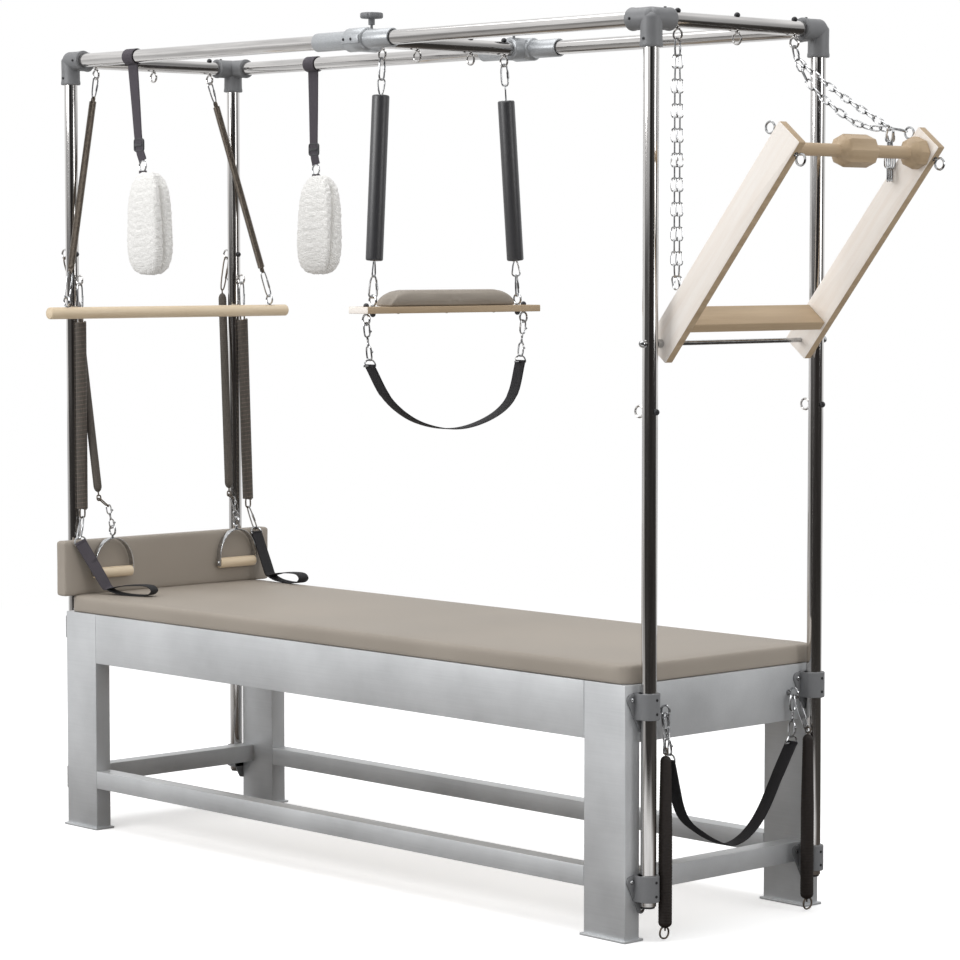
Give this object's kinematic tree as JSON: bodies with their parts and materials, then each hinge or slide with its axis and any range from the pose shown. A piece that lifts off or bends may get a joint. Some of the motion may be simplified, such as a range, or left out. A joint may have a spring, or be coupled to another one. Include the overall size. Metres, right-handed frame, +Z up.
{
  "type": "pilates trapeze table",
  "caption": "Raised padded table in a tall tube frame with a sliding trapeze, a pivoting push bar, springs, handles, slings and fleece loops.",
  "frame": {"origin": "centre of the bounding box in plan, on the floor", "axes": "+Z up; +X runs along the bed from the headboard to the push bar; +Y runs across the bed to its far side"},
  "size_m": [2.8096, 0.874, 2.278],
  "materials": {
    "frame_aluminium": "satin anodised extrusion",
    "deck_plywood": "plain birch plywood",
    "mattress_cover": "taupe upholstery vinyl, fine grain",
    "steel_tube": "polished stainless tube",
    "cast_fitting": "grey cast fitting, satin",
    "beech": "clear lacquered beech",
    "zinc_hardware": "bright zinc plate",
    "grip_foam": "matt closed-cell foam",
    "webbing": "woven nylon webbing",
    "spring_steel": "oiled dark spring wire",
    "spring_sleeve": "dark knitted spring sleeve",
    "fleece": "white pile fleece"
  },
  "bodies": {
    "frame": {"head_end_frame": "frame_aluminium", "foot_end_frame": "frame_aluminium", "side_apron_near": "frame_aluminium", "side_apron_far": "frame_aluminium", "side_rail_near": "frame_aluminium", "side_rail_far": "frame_aluminium", "bed_deck": "deck_plywood", "mattress": "mattress_cover", "headboard_panel": "mattress_cover", "upright_head_near": "steel_tube", "upright_head_far": "steel_tube", "upright_foot_near": "steel_tube", "upright_foot_far": "steel_tube", "corner_fitting_head_near": "cast_fitting", "corner_fitting_head_far": "cast_fitting", "corner_fitting_foot_near": "cast_fitting", "corner_fitting_foot_far": "cast_fitting", "long_tube_near": "steel_tube", "long_tube_far": "steel_tube", "cross_tube_head": "steel_tube", "cross_tube_foot": "steel_tube", "push_bar_pivot_rod": "steel_tube", "push_bar_chain_far": "zinc_hardware"},
    "slider": {"slider_cross_tube": "steel_tube", "slider_collar_near": "cast_fitting", "slider_collar_far": "cast_fitting"},
    "knob_near": {"slider_knob_near": "cast_fitting"},
    "knob_far": {"slider_knob_far": "cast_fitting"},
    "trapeze": {"trapeze_hanger_near": "zinc_hardware", "trapeze_hanger_far": "zinc_hardware", "trapeze_foam_near": "grip_foam", "trapeze_foam_far": "grip_foam", "trapeze_board": "beech", "trapeze_pad": "mattress_cover"},
    "trapeze_sling": {"trapeze_sling": "webbing"},
    "push_bar": {"push_bar_arm_near": "beech", "push_bar_arm_far": "beech", "push_bar_shelf": "beech", "push_bar_grip": "beech"},
    "push_chain_near": {"push_bar_chain_near": "zinc_hardware"},
    "roll_down": {"roll_down_bar": "beech", "roll_down_spring_near": "spring_steel", "roll_down_spring_far": "spring_steel"},
    "end_sling": {"end_sling": "webbing"},
    "arm_coil_near": {"arm_coil_spring_near": "spring_steel"},
    "strap_near": {"strap_loop_near": "webbing"},
    "arm_sleeved_near": {"arm_sleeved_spring_near": "spring_sleeve"},
    "handle_near": {"handle_arch_near": "zinc_hardware"},
    "grip_near": {"handle_grip_near": "beech"},
    "fleece_near": {"fleece_strap_near": "webbing", "fleece_loop_near": "fleece"},
    "leg_near": {"leg_spring_near": "spring_sleeve"},
    "arm_coil_far": {"arm_coil_spring_far": "spring_steel"},
    "strap_far": {"strap_loop_far": "webbing"},
    "arm_sleeved_far": {"arm_sleeved_spring_far": "spring_sleeve"},
    "handle_far": {"handle_arch_far": "zinc_hardware"},
    "grip_far": {"handle_grip_far": "beech"},
    "fleece_far": {"fleece_strap_far": "webbing", "fleece_loop_far": "fleece"},
    "leg_far": {"leg_spring_far": "spring_sleeve"}
  },
  "joints": [
    {"name": "slider_travel", "type": "slide", "parent": "frame", "child": "slider", "axis": [1, 0, 0], "range_m": [-0.5, 0.75]},
    {"name": "knob_turn_near", "type": "hinge", "parent": "slider", "child": "knob_near", "pos_m": [-0.08732, -0.256, 2.24], "axis": [0, 0, 1], "continuous": true},
    {"name": "knob_turn_far", "type": "hinge", "parent": "slider", "child": "knob_far", "pos_m": [-0.08732, 0.256, 2.24], "axis": [0, 0, 1], "continuous": true},
    {"name": "trapeze_swing", "type": "hinge", "parent": "slider", "child": "trapeze", "pos_m": [-0.08732, 0, 2.1615], "axis": [0, 1, 0], "range_deg": [-20, 20]},
    {"name": "trapeze_sling_swing", "type": "hinge", "parent": "trapeze", "child": "trapeze_sling", "pos_m": [-0.08732, 0.008, 1.4705], "axis": [0, 1, 0], "range_deg": [-30, 30]},
    {"name": "push_bar_swing", "type": "hinge", "parent": "frame", "child": "push_bar", "pos_m": [0.96269, 0, 1.438], "axis": [0, 1, 0], "range_deg": [-35, 0], "deforming": ["push_bar_chain_far"]},
    {"name": "push_chain_near_swing", "type": "hinge", "parent": "frame", "child": "push_chain_near", "pos_m": [0.96269, -0.209, 2.1615], "axis": [0, 1, 0], "range_deg": [0, 15]},
    {"name": "roll_down_swing", "type": "hinge", "parent": "frame", "child": "roll_down", "pos_m": [-1.35332, 0, 2.1615], "axis": [0, -1, 0], "range_deg": [0, 14]},
    {"name": "arm_coil_swing_near", "type": "hinge", "parent": "frame", "child": "arm_coil_near", "pos_m": [-1.31831, -0.299, 1.5675], "axis": [0, -1, 0], "range_deg": [0, 3]},
    {"name": "strap_lift_near", "type": "hinge", "parent": "arm_coil_near", "child": "strap_near", "pos_m": [-1.28632, -0.338, 0.838], "axis": [0, -1, 0], "range_deg": [0, 40]},
    {"name": "arm_sleeved_swing_near", "type": "hinge", "parent": "frame", "child": "arm_sleeved_near", "pos_m": [-1.38831, -0.299, 1.6425], "axis": [1, 0, 0], "range_deg": [0, 6]},
    {"name": "handle_swing_near", "type": "hinge", "parent": "arm_sleeved_near", "child": "handle_near", "pos_m": [-1.27731, -0.219, 0.8595], "axis": [1, 0, 0], "range_deg": [0, 15]},
    {"name": "grip_turn_near", "type": "hinge", "parent": "handle_near", "child": "grip_near", "pos_m": [-1.27731, -0.219, 0.731], "axis": [0, 1, 0], "continuous": true},
    {"name": "fleece_swing_near", "type": "hinge", "parent": "frame", "child": "fleece_near", "pos_m": [-1.01531, -0.299, 2.206], "axis": [1, 0, 0], "range_deg": [-15, 15]},
    {"name": "leg_spring_swing_near", "type": "hinge", "parent": "frame", "child": "leg_near", "pos_m": [0.95869, -0.233, 0.544], "axis": [0, -1, 0], "range_deg": [0, 15]},
    {"name": "arm_coil_swing_far", "type": "hinge", "parent": "frame", "child": "arm_coil_far", "pos_m": [-1.31831, 0.299, 1.5675], "axis": [0, -1, 0], "range_deg": [0, 3]},
    {"name": "strap_lift_far", "type": "hinge", "parent": "arm_coil_far", "child": "strap_far", "pos_m": [-1.28931, 0.328, 0.842], "axis": [0, -1, 0], "range_deg": [0, 40]},
    {"name": "arm_sleeved_swing_far", "type": "hinge", "parent": "frame", "child": "arm_sleeved_far", "pos_m": [-1.38831, 0.299, 1.6425], "axis": [-1, 0, 0], "range_deg": [0, 6]},
    {"name": "handle_swing_far", "type": "hinge", "parent": "arm_sleeved_far", "child": "handle_far", "pos_m": [-1.27731, 0.242, 0.8595], "axis": [0, -1, 0], "range_deg": [0, 30]},
    {"name": "grip_turn_far", "type": "hinge", "parent": "handle_far", "child": "grip_far", "pos_m": [-1.27731, 0.242, 0.731], "axis": [0, 1, 0], "continuous": true},
    {"name": "fleece_swing_far", "type": "hinge", "parent": "frame", "child": "fleece_far", "pos_m": [-1.01531, 0.299, 2.206], "axis": [1, 0, 0], "range_deg": [-15, 15]},
    {"name": "leg_spring_swing_far", "type": "hinge", "parent": "frame", "child": "leg_far", "pos_m": [0.95869, 0.233, 0.544], "axis": [0, -1, 0], "range_deg": [0, 15]},
    {"name": "end_sling_swing", "type": "hinge", "parent": "frame", "child": "end_sling", "pos_m": [0.95069, 0, 0.544], "axis": [0, -1, 0], "range_deg": [0, 15]}
  ]
}
